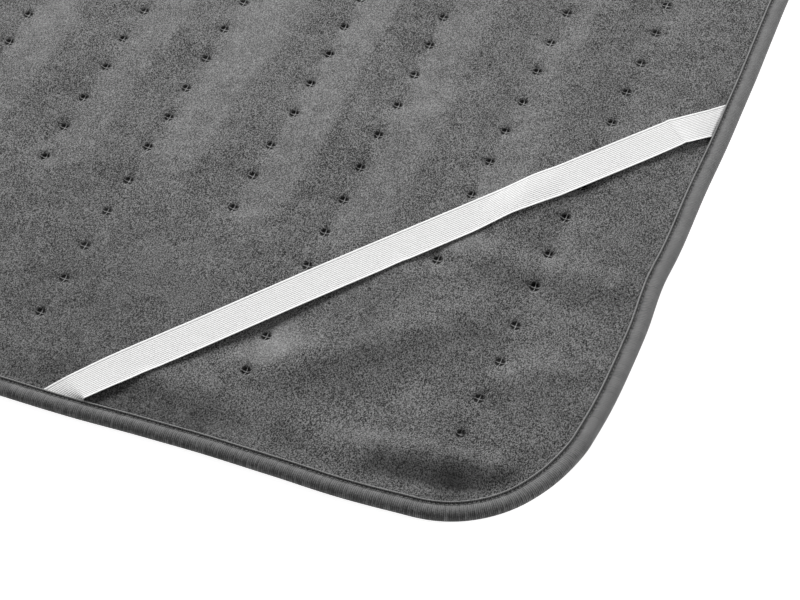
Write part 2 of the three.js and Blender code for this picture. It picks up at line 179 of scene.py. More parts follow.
# ---- Materials ----


class Material:
    """A material with a principled shader and a short way to add nodes to it."""

    def __init__(self, name, roughness, metallic=0.0):
        self.material = bpy.data.materials.new(name)
        self.material.use_nodes = True
        self.tree = self.material.node_tree
        self.shader = self.tree.nodes["Principled BSDF"]
        self.set("Roughness", roughness)
        self.set("Metallic", metallic)

    def set(self, name, value):
        self.shader.inputs[name].default_value = value

    def add(self, kind, output=0, settings=None, **inputs):
        """Adds a node and returns one of its outputs. An input is given by its name, with _ for a space,
        or as input_0, input_1 where names repeat."""
        made = self.tree.nodes.new("ShaderNode" + kind)
        for key, value in (settings or {}).items():
            setattr(made, key, value)
        for key, value in inputs.items():
            place = int(key[6:]) if key.startswith("input_") else key.replace("_", " ")
            if isinstance(value, bpy.types.NodeSocket):
                self.tree.links.new(value, made.inputs[place])
            else:
                made.inputs[place].default_value = value
        return made.outputs[output]

    def link(self, value, name):
        self.tree.links.new(value, self.shader.inputs[name])

    def place(self):
        """Where a point of a bending piece is at rest, so that a pattern stays with the cloth."""
        return self.add("Attribute", "Vector", {"attribute_name": "rest_place"})

    def attribute(self, name):
        return self.add("Attribute", "Fac", {"attribute_name": name})

    def math(self, operation, a, b=0.0, clamp=False):
        return self.add("Math", 0, {"operation": operation, "use_clamp": clamp}, input_0=a, input_1=b)

    def noise(self, vector, scale, detail=2.0, roughness=0.5, distortion=0.0):
        settings = {"Scale": scale, "Detail": detail, "Roughness": roughness, "Distortion": distortion}
        return self.add("TexNoise", "Fac", Vector=vector, **settings)

    def woven(self, across_scale):
        """Places in a cloth from how far along and round it a point is, closer together along it."""
        along = self.math("MULTIPLY", self.attribute("along"), 1000)
        around = self.math("MULTIPLY", self.attribute("around"), across_scale)
        return self.add("CombineXYZ", X=along, Y=around)

    def stretched(self, vector, turn, stretch):
        """The same vector turned about Z and stretched, for a pattern that runs one way."""
        rotation = (0, 0, math.radians(turn))
        return self.add("Mapping", "Vector", Vector=vector, Rotation=rotation, Scale=stretch)

    def ramp(self, value, low, high, to_low=0.0, to_high=1.0):
        ends = {"From_Min": low, "From_Max": high, "To_Min": to_low, "To_Max": to_high}
        return self.add("MapRange", "Result", Value=value, **ends)

    def shade(self, tone, low, high):
        """A colour between two, by a value from 0 to 1."""
        return self.mix(tone, (*low, 1), (*high, 1))

    def mix(self, share, first, second):
        return self.add("Mix", 2, {"data_type": "RGBA"}, input_0=share, input_6=first, input_7=second)

    def bump(self, height, strength, distance):
        self.link(self.add("Bump", "Normal", Strength=strength, Distance=distance, Height=height), "Normal")


def grey(srgb, warmth=0.0):
    """A grey of a display level from 0 to 255, as a linear colour."""
    level = srgb / 255
    linear = ((level + 0.055) / 1.055) ** 2.4 if level > 0.04045 else level / 12.92
    return (linear * (1 + warmth), linear, linear * (1 - warmth))


def felt_material():
    """Needle felt: a mottled grain of short tangled fibres, closed where welded, with painted light and
    shade.
    """
    m = Material("needle_felt", 0.95)
    place = m.place()
    grain = m.noise(place, 1250, 2.5, 0.7, 0.4)
    fibre_1 = m.noise(m.stretched(place, 25, (1.0, 0.28, 1.0)), 2000, 1.5, 0.65, 0.3)
    fibre_2 = m.noise(m.stretched(place, 105, (1.0, 0.28, 1.0)), 2000, 1.5, 0.65, 0.3)
    fibres = m.math("MAXIMUM", fibre_1, fibre_2)
    fuzz = m.math("ADD", m.math("MULTIPLY", grain, 0.66), m.math("MULTIPLY", fibres, 0.34))
    mottle = m.noise(place, 95, 3.0, 0.6)
    cloud = m.noise(place, 14, 2.0, 0.5)
    tone = m.ramp(fuzz, 0.452, 0.618)
    tone = m.math("ADD", tone, m.ramp(mottle, 0.3, 0.7, -0.1, 0.1))
    tone = m.math("ADD", tone, m.ramp(cloud, 0.3, 0.7, -0.05, 0.05), clamp=True)
    colour = m.shade(tone, grey(20), grey(146))
    # Painted light and shade: a slope that faces the key light is painted paler and one turned from it
    # darker, with painted patches in the corners. A weld spot gets painted shade in its pits and rim, and a
    # painted highlight on its cross.
    nap, spot = m.attribute("nap"), m.attribute("spot")
    for share, sign, level in ((nap, 1, 190), (nap, -1, 20), (spot, 1, 4), (spot, -1, 180)):
        colour = m.mix(m.math("MULTIPLY", share, sign, clamp=True), colour, (*grey(level), 1))
    m.link(colour, "Base Color")
    m.link(m.ramp(spot, 0, 1, 0.96, 0.75), "Roughness")
    m.link(m.ramp(spot, 0, 0.5, 0.08, 0), "Sheen Weight")
    m.bump(fuzz, 0.6, 0.0006)
    m.set("Sheen Roughness", 0.6)
    m.set("Specular IOR Level", 0.2)
    return m.material


KNIT_RIB = 0.00112  # from rib to rib of the tape's knit, in metres


def binding_material():
    """Knitted tape: fine uneven ribs across it, with a painted highlight on the sewn ridge and painted shade
    in the seam.
    """
    m = Material("knitted_tape", 0.88)
    place = m.place()
    uneven = m.noise(m.woven(150), 0.7, 2.0, 0.6)
    phase = m.math("MULTIPLY", m.attribute("along"), 2 * math.pi / KNIT_RIB)
    phase = m.math("ADD", phase, m.math("MULTIPLY", uneven, 5))
    ribs = m.ramp(m.math("SINE", phase), -1, 1)
    fuzz = m.noise(place, 1500, 2.0, 0.6)
    mottle = m.noise(place, 120, 2.0, 0.6)
    weave = m.math("ADD", m.math("MULTIPLY", ribs, 0.3), m.math("MULTIPLY", fuzz, 0.7))
    tone = m.math("ADD", m.ramp(weave, 0.3, 0.7, 0.25, 0.75), m.ramp(mottle, 0.3, 0.7, -0.05, 0.05))
    # Painted light and shade across the tape's section.
    pale = m.math("MULTIPLY", m.attribute("pale"), m.ramp(uneven, 0.35, 0.65, 0.4, 1.4))
    tone = m.math("ADD", tone, pale, clamp=True)
    m.link(m.shade(tone, grey(58), grey(150)), "Base Color")
    m.bump(weave, 0.7, 0.0006)
    m.set("Sheen Weight", 0.1)
    m.set("Specular IOR Level", 0.25)
    return m.material


def thread_material():
    """Sewing thread: two plies twisted together."""
    m = Material("sewing_thread", 0.7)
    place = m.place()
    twist = m.noise(m.stretched(place, 30, (1.0, 0.3, 1.0)), 2600, 1.0)
    m.link(m.shade(m.ramp(twist, 0.35, 0.65), grey(62), grey(125)), "Base Color")
    m.bump(twist, 0.4, 0.0002)
    return m.material


def elastic_material():
    """Knitted elastic: lengthwise ribs with fine loops on each, and painted shade in the grooves between
    them.
    """
    m = Material("knitted_elastic", 0.8)
    place = m.place()
    loops = m.noise(m.woven(900), 1.0, 1.5, 0.6)
    fuzz = m.noise(place, 1500, 2.0, 0.6)
    weave = m.math("ADD", m.math("MULTIPLY", loops, 0.5), m.math("MULTIPLY", fuzz, 0.5))
    # The grooves between the ribs are painted darker: painted shade.
    light = m.math("SUBTRACT", m.ramp(weave, 0.3, 0.7, 0.86, 1.14), m.attribute("groove"), clamp=True)
    m.link(m.shade(light, grey(156, 0.012), grey(255)), "Base Color")
    m.bump(weave, 0.35, 0.0003)
    m.set("Sheen Weight", 0.08)
    m.set("Specular IOR Level", 0.3)
    return m.material


def plastic_material(name, level, roughness, grain_scale, grain_depth):
    """Moulded plastic with a fine spark-eroded grain and slightly uneven gloss."""
    m = Material(name, roughness)
    place = m.add("TexCoord", "Object")
    grain = m.noise(place, grain_scale, 2.0, 0.5)
    patch = m.noise(place, 220, 3.0, 0.6)
    m.link(m.shade(m.ramp(patch, 0.3, 0.7), grey(level - 2), grey(level + 3)), "Base Color")
    m.link(m.ramp(patch, 0.3, 0.7, roughness - 0.07, roughness + 0.08), "Roughness")
    m.bump(grain, 0.3, grain_depth)
    m.set("Specular IOR Level", 0.25)
    return m.material


def metal_material(name, low, high, roughness):
    """Drawn or turned metal with faint lines and a little tarnish."""
    m = Material(name, roughness, 1.0)
    place = m.add("TexCoord", "Object")
    lines = m.noise(m.stretched(place, 0, (1.0, 0.08, 1.0)), 4000, 2.0)
    tarnish = m.noise(place, 350, 3.0, 0.6)
    m.link(m.shade(m.ramp(tarnish, 0.3, 0.7), low, high), "Base Color")
    m.link(m.ramp(tarnish, 0.3, 0.7, roughness + 0.12, roughness - 0.05), "Roughness")
    m.bump(lines, 0.25, 0.00005)
    return m.material


def cord_material():
    """The heating cord's soft silicone jacket, with faint lay marks of the spiral wire under it."""
    m = Material("cord_jacket", 0.45)
    place = m.add("TexCoord", "Object")
    lay = m.noise(m.stretched(place, 40, (1.0, 0.2, 1.0)), 900, 1.0)
    m.link(m.shade(lay, grey(196, 0.03), grey(222, 0.03)), "Base Color")
    m.bump(lay, 0.3, 0.0001)
    return m.material


FELT = felt_material()
TAPE = binding_material()
THREAD = thread_material()
ELASTIC = elastic_material()
CORD = cord_material()
SHELL = plastic_material("shell_plastic", 58, 0.62, 2600, 0.0001)
INSERT = plastic_material("insert_plastic", 38, 0.5, 4000, 0.00003)
BRASS = metal_material("contact_brass_metal", (0.55, 0.37, 0.12), (0.68, 0.49, 0.2), 0.28)
STEEL = metal_material("zinc_steel", (0.24, 0.24, 0.25), (0.38, 0.38, 0.4), 0.45)
CERAMIC = plastic_material("fuse_ceramic", 224, 0.55, 1800, 0.00004)


# ---- Making meshes ----


def make_piece(name, points, faces, material, flat_from=None, **values):
    """A mesh piece from points in millimetres. Faces from the one numbered flat_from on are flat shaded.
    values are numbers to keep at each point for the material to read."""
    points = np.reshape(points, (-1, 3)) * MM
    mesh = bpy.data.meshes.new(name)
    mesh.from_pydata(points.tolist(), [], faces)
    smooth = np.ones(len(mesh.polygons), bool)
    if flat_from is not None:
        smooth[flat_from:] = False
    mesh.polygons.foreach_set("use_smooth", smooth)
    rest = mesh.attributes.new("rest_place", "FLOAT_VECTOR", "POINT")
    rest.data.foreach_set("vector", points.astype(np.float32).ravel())
    for key, numbers in values.items():
        layer = mesh.attributes.new(key, "FLOAT", "POINT")
        layer.data.foreach_set("value", np.asarray(numbers, np.float32).ravel())
    mesh.materials.append(material)
    mesh.validate()
    return place_object(name, mesh)


def fold_with_pad(piece):
    """Moves a piece's transform into its mesh."""
    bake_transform(piece)


def strip_faces(rows, columns, closed=False):
    """Quads between neighbouring rows of points. In a closed strip the last column joins the first."""
    quads = columns if closed else columns - 1
    row, column = np.meshgrid(np.arange(rows - 1), np.arange(quads), indexing="ij")
    here, beyond = (row * columns).ravel(), ((row + 1) * columns).ravel()
    column = column.ravel()
    after = (column + 1) % columns
    return np.stack([here + column, here + after, beyond + after, beyond + column], 1).tolist()


def capped_strip(rows, columns, flip):
    """The faces of a closed strip, and of its two ends as the last two. flip turns them all over."""
    faces = strip_faces(rows, columns, closed=True)
    faces += [list(range(columns))[::-1], list(range((rows - 1) * columns, rows * columns))]
    return [face[::-1] for face in faces] if flip else faces


def smooth_step(share):
    share = np.clip(share, 0, 1)
    return share * share * (3 - 2 * share)


def fade(distance, reach):
    """From 1 at no distance, through 0.37 at the reach, down to nothing."""
    return np.exp(-((distance / reach) ** 2))


def smooth_curve(points, at):
    """Passes a smooth curve through points, as a cubic with even slopes, and gives its height at places."""
    x, y = np.array(points).T
    slope = np.gradient(y, x)
    i = np.clip(np.searchsorted(x, at) - 1, 0, len(x) - 2)
    width = x[i + 1] - x[i]
    t = np.clip((at - x[i]) / width, 0, 1)
    value = (2 * t**3 - 3 * t**2 + 1) * y[i] + (t**3 - 2 * t**2 + t) * width * slope[i]
    return value + (3 * t**2 - 2 * t**3) * y[i + 1] + (t**3 - t**2) * width * slope[i + 1]


def soft_noise(x, y, cell, seed):
    """Smooth random heights from -1 to 1, with bumps about one cell wide."""
    lattice = np.random.default_rng(seed).uniform(-1, 1, (80, 80))
    u, v = x / cell + 40, y / cell + 40
    i, j = np.floor(u).astype(int), np.floor(v).astype(int)
    a, b = smooth_step(u - i), smooth_step(v - j)
    near = lattice[i, j] * (1 - a) + lattice[i + 1, j] * a
    far = lattice[i, j + 1] * (1 - a) + lattice[i + 1, j + 1] * a
    return near * (1 - b) + far * b


# ---- The outline, which the straps and the corners pull in a little ----

# How far the edge is pulled in, at distances along it from the middle of the corner: first on the end edge,
# then on the side edge.
EDGE_PULL = (
    (-400, 0), (-310, 0.8), (-262, 1.2), (-223, 2.8), (-203, 3.3), (-143, 3.2), (-103, 2.8), (-83, 3.5),
    (-63, 4.7), (-30, 5.8), (0, 6.7), (20, 7.2), (42, 6.3), (63, 3.7), (83, 1.6), (103, 0.3), (143, -0.2),
    (183, 1.6), (203, 0.5), (262, 0.3), (290, -0.7), (330, -0.8), (420, 0),
)
PULL_FULL = 20  # the pull is whole this far inside the edge, and it dies away over the next stretch
PULL_FADE = 85
CORNER_SHARES = {(1, -1): 1.0, (-1, -1): 0.75, (1, 1): 0.6, (-1, 1): 0.85}


def corner_share(x, y):
    """How strongly a corner's pull and folds show there: each corner has the same set."""
    share = np.zeros(np.shape(x))
    for (side, end), strength in CORNER_SHARES.items():
        share = np.where((side * x > 0) & (end * y > 0), strength, share)
    return share


def past_round(x, y):
    """How far a point is past the middle of the nearest corner's round, towards the side and the end."""
    return np.abs(x) - ROUND_X, np.abs(y) - ROUND_Y


def from_edges(x, y):
    """How far a point is from the nearest side and from the nearest end."""
    return HALF_WIDTH - np.abs(x), HALF_LENGTH - np.abs(y)


def edge_distance(x, y):
    """How far a point is inside the blanket's outline."""
    u, v = past_round(x, y)
    return CORNER_RADIUS - np.hypot(np.maximum(u, 0), np.maximum(v, 0)) - np.minimum(np.maximum(u, v), 0)


def edge_pull(x, y):
    """How far the nearest place on the edge is pulled in."""
    u, v = past_round(x, y)
    on_arc = CORNER_RADIUS * (np.arctan2(u, v) - math.pi / 4)
    half_arc = CORNER_RADIUS * math.pi / 4
    on_straight = np.where(u > v, half_arc - v, u - half_arc)
    place = np.where((u > 0) & (v > 0), on_arc, on_straight)
    return corner_share(x, y) * smooth_curve(EDGE_PULL, place)


def pulled_in(x, y):
    """Moves points near the edge in with it."""
    u, v = past_round(x, y)
    corner = (u > 0) & (v > 0)
    size = np.maximum(np.hypot(u, v), 1e-9)
    out_x = np.where(corner, u / size, u >= v) * np.sign(x)
    out_y = np.where(corner, v / size, u < v) * np.sign(y)
    move = edge_pull(x, y) * (1 - smooth_step((edge_distance(x, y) - PULL_FULL) / PULL_FADE))
    return x - out_x * move, y - out_y * move


# ---- The relief of the quilt ----


def row_spots(row):
    """The first and last weld spot of a row, as numbers of pitches from the foot end."""
    if row in (0, ROWS - 1):
        return 0, LAST_SPOT
    return (SHORT_ROW_SKIP, LAST_SPOT) if row % 2 else (0, LAST_SPOT - SHORT_ROW_SKIP)


# How far each spot is out of line, and how deep it is.
SPOT_SHIFT = np.random.default_rng(5).normal(0, 0.8, (ROWS, LAST_SPOT + 1, 2)).clip(-1.6, 1.6)
SPOT_DEPTH = np.random.default_rng(6).uniform(0.85, 1.1, (ROWS, LAST_SPOT + 1))


def near_spots(x, y):
    """For each weld spot near a point: the way across and along from the spot, its depth, and how far the
    spot is out of line."""
    for row in range(ROWS):
        first, last = row_spots(row)
        nearest = np.rint((y - FIRST_SPOT_Y) / WELD_PITCH).astype(int)
        for step in (-1, 0, 1):
            spot = nearest + step
            there = (spot >= first) & (spot <= last)
            spot = np.clip(spot, first, last)
            across = x - ROW_X[row]
            along = y - FIRST_SPOT_Y - spot * WELD_PITCH
            yield across, along, np.where(there, SPOT_DEPTH[row, spot], 0), SPOT_SHIFT[row, spot]


VALLEY_REACH = (15, 14)  # across the row and along it
DIP_REACH = (6.5, 7.5)
BOWL_RADIUS = 2.6
PITS_RADIUS = 2.5
PITS_EDGE = 0.9
CROSS_REACH = 0.45


def dent(across, along, reach):
    """A soft round dent, 1 deep."""
    return np.exp(-0.5 * ((across / reach[0]) ** 2 + (along / reach[1]) ** 2))


def spot_fields(x, y):
    """The soft valley of the rows, the dip round each spot, its bowl, its four pits and the cross between
    them, each about 1 deep."""
    valley, dip, bowl, pits, cross = (np.zeros(x.shape) for _ in range(5))
    for across, along, depth, _ in near_spots(x, y):
        away = np.hypot(across, along)
        valley += depth * dent(across, along, VALLEY_REACH)
        dip += depth * dent(across, along, DIP_REACH)
        bowl += depth * np.exp(-((away / BOWL_RADIUS) ** 3))
        disc = 1 - smooth_step((away - PITS_RADIUS) / PITS_EDGE)
        in_pit = smooth_step(np.abs(across) / CROSS_REACH) * smooth_step(np.abs(along) / CROSS_REACH)
        pits += depth * disc * in_pit
        cross += depth * disc * (1 - in_pit)
    return valley, dip, bowl, pits, cross


def spot_painted_shade(bowl, pits, cross):
    """The painted shade of a weld spot, in its pits and round its rim; under 0 on its cross, a painted
    highlight.
    """
    rim = np.clip(bowl - pits - cross, 0, 1)
    return np.clip(1.25 * pits + 0.4 * rim - 0.65 * cross, -0.65, 1)


SPOT_REACH = 7  # the felt moves with a spot about this far round it


def out_of_line(x, y):
    """Moves points with their weld spot, as the spots aren't quite in line."""
    move = np.zeros((*x.shape, 2))
    for across, along, depth, shift in near_spots(x, y):
        share = (depth > 0) * fade(np.hypot(across, along), SPOT_REACH)
        move += shift * share[..., None]
    return x + move[..., 0], y + move[..., 1]


# The cord doesn't lie quite in the middle of its channel: how far each run keeps to the right of it.
RUN_BIAS = (-7, -4.5, -4, 5, 1, -3, 4, -5, 3, -2)
SWAY_END = 500
SWAY_FADE = 80
WANDER = 2.2


def sway(run, y):
    """How far a run of the cord wanders to the right of its channel's middle."""
    inner = smooth_step((SWAY_END - np.abs(y)) / SWAY_FADE)
    return inner * (RUN_BIAS[run] + WANDER * np.sin(y / 45 + 1.7 * run))


def cord_distance(x, y):
    """How far a point is from the cord's line, in plan."""
    nearest = np.full(x.shape, np.inf)
    for run in range(RUNS):
        head_stop = LEAD_Y - LEAD_BEND if run in (0, RUNS - 1) else TURN_Y
        beyond = np.maximum(-TURN_Y - y, 0) + np.maximum(y - head_stop, 0)
        nearest = np.minimum(nearest, np.hypot(x - RUN_X[run] - sway(run, y), beyond))
    for run in range(RUNS - 1):
        end = -1 if run % 2 == 0 else 1
        middle = (RUN_X[run] + RUN_X[run + 1]) / 2
        ring = np.abs(np.hypot(x - middle, y - end * TURN_Y) - TURN_RADIUS)
        nearest = np.where(end * y > TURN_Y, np.minimum(nearest, ring), nearest)
    bend_x, bend_y = FIRST_RUN_X - LEAD_BEND, LEAD_Y - LEAD_BEND
    ring = np.abs(np.hypot(np.abs(x) - bend_x, y - bend_y) - LEAD_BEND)
    nearest = np.where((np.abs(x) > bend_x) & (y > bend_y), np.minimum(nearest, ring), nearest)
    beyond = np.maximum(np.abs(x) - bend_x, 0) + np.maximum(SHELL_HALF_WIDTH - np.abs(x), 0)
    return np.minimum(nearest, np.hypot(beyond, y - LEAD_Y))


# Soft folds in a corner, each a line between two points given from the side and from the end, its width and
# its height. The last three are creases, which go down.
CORNER_FOLDS = (
    ((190, 66), (96, 136), 15, 3.3),
    ((122, 180), (24, 184), 12, 2.4),
    ((112, 35), (40, 41), 8.5, 4.0),
    ((217, 10), (212, 60), 9, 1.8),
    ((62, 104), (20, 124), 11, 1.7),
    ((290, 44), (230, 38), 14, 1.6),
    ((118, 212), (40, 300), 24, 2.2),
    ((108, 19), (44, 22), 5, -2.6),
    ((84, 34), (66, 50), 4, -0.8),
    ((300, 24), (130, 20), 7, -1.3),
)


def ridge(x, y, start, end, width, height):
    """A long soft bump along a line."""
    way = np.subtract(end, start)
    share = np.clip(((x - start[0]) * way[0] + (y - start[1]) * way[1]) / (way @ way), 0, 1)
    off = np.hypot(x - start[0] - share * way[0], y - start[1] - share * way[1])
    return height * fade(off, width)


def corner_folds(x, y):
    """The height of the corners' folds."""
    place = from_edges(x, y)
    return corner_share(x, y) * sum(ridge(*place, *fold) for fold in CORNER_FOLDS)


PRESS_DEPTH = 1.3
PRESS_REACH = 11
PRESS_HALF_WIDTH = 12


def strap_press(x, y):
    """How far the straps' sewn ends press the felt down."""
    from_side, from_end = from_edges(x, y)
    past_end_seam = np.maximum(np.abs(from_side - STRAP_ALONG_END) - PRESS_HALF_WIDTH, 0)
    past_side_seam = np.maximum(np.abs(from_end - STRAP_ALONG_SIDE) - PRESS_HALF_WIDTH, 0)
    to_end_seam = np.hypot(past_end_seam, from_end - BINDING_WIDTH)
    to_side_seam = np.hypot(from_side - BINDING_WIDTH, past_side_seam)
    return PRESS_DEPTH * fade(np.minimum(to_end_seam, to_side_seam), PRESS_REACH)


FACE_RISE = 0.45
VALLEY_DEPTH = 1.25
DIP_DEPTH = 0.5
CREST_HEIGHT = 1.9
CREST_REACH = 30
CREST_ROUND = 5
CORD_RIDGE = 0.3
SEWN_DROP = 1.7  # how far the binding's seam pulls the face down
SEWN_HEIGHT = 5.0  # the face is flattened towards this height under the tape


def quilt_height(x, y, valley, dip):
    """The height of the upper felt's face without its weld spots."""
    cord = cord_distance(x, y)
    z = PAD_THICKNESS + FACE_RISE - VALLEY_DEPTH * valley - DIP_DEPTH * dip
    # The cloth slopes up from the rows to a soft crest over the cord.
    z += CREST_HEIGHT * np.clip(1 - np.hypot(cord, CREST_ROUND) / CREST_REACH, 0, 1)
    z += CORD_RIDGE * fade(cord, CREST_ROUND)
    z += 0.7 * soft_noise(x, y, 70, 1) + 0.4 * soft_noise(x, y, 24, 2)
    z += corner_folds(x, y)
    edge = edge_distance(x, y)
    z -= SEWN_DROP * fade(np.maximum(edge - 9, 0), 12)
    inside = smooth_step((edge - BINDING_WIDTH) / 10)
    return SEWN_HEIGHT + (z - SEWN_HEIGHT) * (0.2 + 0.8 * inside) - strap_press(x, y)


# Painted light: a slope that goes down this way faces the key light and is painted paler; one turned from it,
# darker.
PAINTED_LIGHT_WAY = np.array([-0.69, 0.72])  # a slope that goes down this way looks paler
SHADING_SLOPE_STEP = 1.5
PAINTED_SHADING_STRENGTH = 0.55
# Patches of painted light and shade in a corner: how far each is from the side and from the end, how wide
# it is, and how much paler it is painted.
PAINTED_LIGHT_PATCHES = (
    (305, 70, 58, -0.22), (215, 8, 24, -0.3), (255, 8, 24, -0.3), (152, 106, 36, -0.2), (75, 36, 26, -0.22),
    (62, 25, 12, -0.35), (36, 212, 26, -0.14), (52, 178, 18, -0.14), (49, 92, 18, -0.12),
    (137, 33, 17, 0.2), (250, 255, 110, 0.06), (330, 330, 60, 0.07), (60, 350, 60, -0.06),
    (105, 66, 20, 0.15), (195, 88, 24, 0.22),
)


def painted_light_patches(x, y):
    """How much paler or darker the felt is painted in patches: painted light and shade."""
    from_side, from_end = from_edges(x, y)
    tone = np.zeros(np.shape(x))
    for side, end, size, paler in PAINTED_LIGHT_PATCHES:
        tone += paler * fade(np.hypot(from_side - side, from_end - end), size)
    # It is darker towards the two ends, with painted shade along the seams there.
    return corner_share(x, y) * tone - 0.08 * fade(from_end, 150) - 0.12 * fade(from_end, 28)


def in_connector(x, y):
    """From 0 outside the connector's shells to 1 between them."""
    return smooth_step((SHELL_HALF_WIDTH + 5 - np.abs(x)) / 5) * smooth_step((y - SHELL_BACK + 7) / 7)


BOWL_DEPTH = 1.3
PITS_DEPTH = 0.95
LEAST_THICKNESS = 0.2


def upper_height(x, y):
    """The height of the upper felt's face, its weld spots' painted shade, and its painted light and shade."""
    valley, dip, bowl, pits, cross = spot_fields(x, y)
    quilt = quilt_height(x, y, valley, dip)
    step_x, step_y = SHADING_SLOPE_STEP * PAINTED_LIGHT_WAY
    beyond_valley, beyond_dip = spot_fields(x + step_x, y + step_y)[:2]
    beyond = quilt_height(x + step_x, y + step_y, beyond_valley, beyond_dip)
    inside = smooth_step((edge_distance(x, y) - BINDING_WIDTH) / 8)
    # Painted light and shade by the slope towards the key light, and painted patches of light and shade.
    nap = PAINTED_SHADING_STRENGTH * inside * np.clip((quilt - beyond) / SHADING_SLOPE_STEP, -0.6, 0.25) + painted_light_patches(x, y)
    z = quilt - BOWL_DEPTH * bowl - PITS_DEPTH * pits
    jaws = in_connector(x, y)
    z = z * (1 - jaws) + np.minimum(z, JAW_GAP[1]) * jaws
    z = np.maximum(z, UPPER_FELT_LOW + LEAST_THICKNESS)
    return z, spot_painted_shade(bowl, pits, cross), nap


def lower_height(x, y):
    """The height of the lower felt's face, which lies flat but for the weld rows."""
    valley, dip, bowl, pits, cross = spot_fields(x, y)
    z = 0.08 + 0.45 * valley + 0.3 * dip + 0.6 * bowl + 0.5 * pits
    z += 0.15 * (1 + soft_noise(x, y, 50, 3))
    z += 1.2 * fade(np.maximum(edge_distance(x, y) - 9, 0), 6)
    jaws = in_connector(x, y)
    z = z * (1 - jaws) + np.maximum(z, JAW_GAP[0]) * jaws
    z = np.minimum(z, LOWER_FELT_HIGH - LEAST_THICKNESS)
    return z, spot_painted_shade(bowl, pits, cross), 0 * z


# ---- The felts ----

# A line of points this close to a plain cut keeps the shading smooth up to the cut.
CUT_LINE = 0.05
SPOT_LINES = (-3.2, -2.4, -1.4, -0.45, 0, 0.45, 1.4, 2.4, 3.2)
NOTCH_STEP = 0.3  # the edge goes back into the notch over this much of the width


def grid_lines(low, high, marks, widest):
    """Grid lines from low to high, with one at each mark and no gap wider than a limit."""
    marks = np.unique(np.round([low, high, *(m for m in marks if low < m < high)], 3))
    lines = [marks[0]]
    for mark in marks[1:]:
        steps = max(1, math.ceil((mark - lines[-1]) / widest))
        lines.extend(np.linspace(lines[-1], mark, steps + 1)[1:])
    return np.array(lines)


def rounded(x, y):
    """Moves points of a square-cornered sheet inwards so that its corners are round."""
    radius = CORNER_RADIUS - FELT_INSET
    u, v = (np.clip(past / radius, 0, 1) for past in past_round(x, y))
    across = ROUND_X + radius * u * np.sqrt(1 - v * v / 2)
    along = ROUND_Y + radius * v * np.sqrt(1 - u * u / 2)
    corner = (u > 0) & (v > 0)
    return np.where(corner, np.sign(x) * across, x), np.where(corner, np.sign(y) * along, y)


def notched(x, y):
    """Pulls the middle of the head end's edge back, to leave room inside the connector."""
    room = SHELL_BACK + 4
    squeeze = (NOTCH_BACK - room) / (HALF_LENGTH - FELT_INSET - room)
    within = (np.abs(x) <= NOTCH_HALF_WIDTH + 0.01) & (y > room)
    return np.where(within, room + (y - room) * squeeze, y)


def felt_grid(end):
    """The grid lines of one half of a felt, close together over the spots and the cord."""
    x_marks = [row + line for row in ROW_X for line in SPOT_LINES]
    x_marks += [run + step for run in RUN_X for step in range(-9, 10, 3)]
    notch_marks = [NOTCH_HALF_WIDTH, NOTCH_HALF_WIDTH + NOTCH_STEP, SHELL_HALF_WIDTH]
    x_marks += notch_marks + [-mark for mark in notch_marks]
    x_lines = grid_lines(FELT_INSET - HALF_WIDTH, HALF_WIDTH - FELT_INSET, x_marks, 7)
    spot_y = FIRST_SPOT_Y + WELD_PITCH * np.arange(LAST_SPOT + 1)
    y_marks = [spot + line for spot in spot_y for line in SPOT_LINES]
    y_marks += [-CUT_LINE, CUT_LINE, *range(-FOLD_REACH, FOLD_REACH + 1, 2)]
    outer = HALF_LENGTH - FELT_INSET
    low, high = (-outer, 0) if end < 0 else (0, outer)
    return x_lines, grid_lines(low, high, y_marks, 5.8)


def plain_side(x, y, z, keys):
    """A plain face behind the fine one, and the rim between them: its points, and faces numbered after the
    fine face's. It has points only along its border and in the key columns."""
    rows, columns = x.shape
    needed = np.zeros((rows, columns), bool)
    needed[[0, -1], :] = True
    needed[:, keys] = True
    copy = np.full((rows, columns), -1)
    copy[needed] = rows * columns + np.arange(needed.sum())
    points = np.stack([x[needed], y[needed], np.full(needed.sum(), z)], -1)
    number = np.arange(rows * columns).reshape(rows, columns)
    faces = []
    for left, right in zip(keys, keys[1:]):
        for row in range(rows - 1):
            near = copy[row, left : right + 1] if row == 0 else copy[row, [left, right]]
            far = copy[row + 1, left : right + 1] if row == rows - 2 else copy[row + 1, [left, right]]
            faces.append([*near[::-1].tolist(), *far.tolist()])
    rim = [(number[0], copy[0]), (number[:, -1], copy[:, -1])]
    rim += [(number[-1, ::-1], copy[-1, ::-1]), (number[::-1, 0], copy[::-1, 0])]
    for fine, coarse in rim:
        for a, b, c, d in zip(fine, fine[1:], coarse[1:], coarse):
            faces.append([int(b), int(a), int(d), int(c)])
    return points, faces


